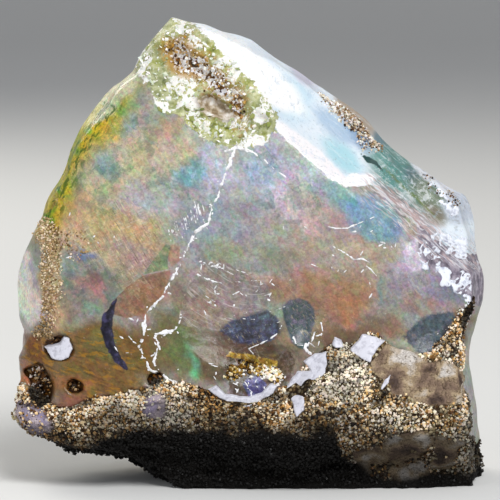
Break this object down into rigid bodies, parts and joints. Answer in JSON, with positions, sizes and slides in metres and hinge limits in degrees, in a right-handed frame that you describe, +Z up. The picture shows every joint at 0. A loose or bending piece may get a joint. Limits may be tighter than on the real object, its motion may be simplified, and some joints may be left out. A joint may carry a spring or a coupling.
{
  "type": "rough ethiopian opal",
  "caption": "Broken lump of rough precious opal with a big glassy face, a bevelled shoulder and a crust of pale host rock along its foot and back.",
  "frame": {"origin": "on the resting face, under the middle of the stone's bounding box", "axes": "+Z up from the resting face, the big opal face looks along -Y, +X to the right of someone looking at that face"},
  "size_m": [0.0524, 0.0278, 0.0505],
  "materials": {
    "opal": "glossy conchoidal precious opal, translucent honey to blue grey with play of colour, chalky white along its broken edges",
    "host_rock": "matte sugary volcanic host rock, cream and tan grains with brown gaps and chalk-white chips"
  },
  "bodies": {
    "root": {"rough_opal": "opal"}
  },
  "joints": []
}
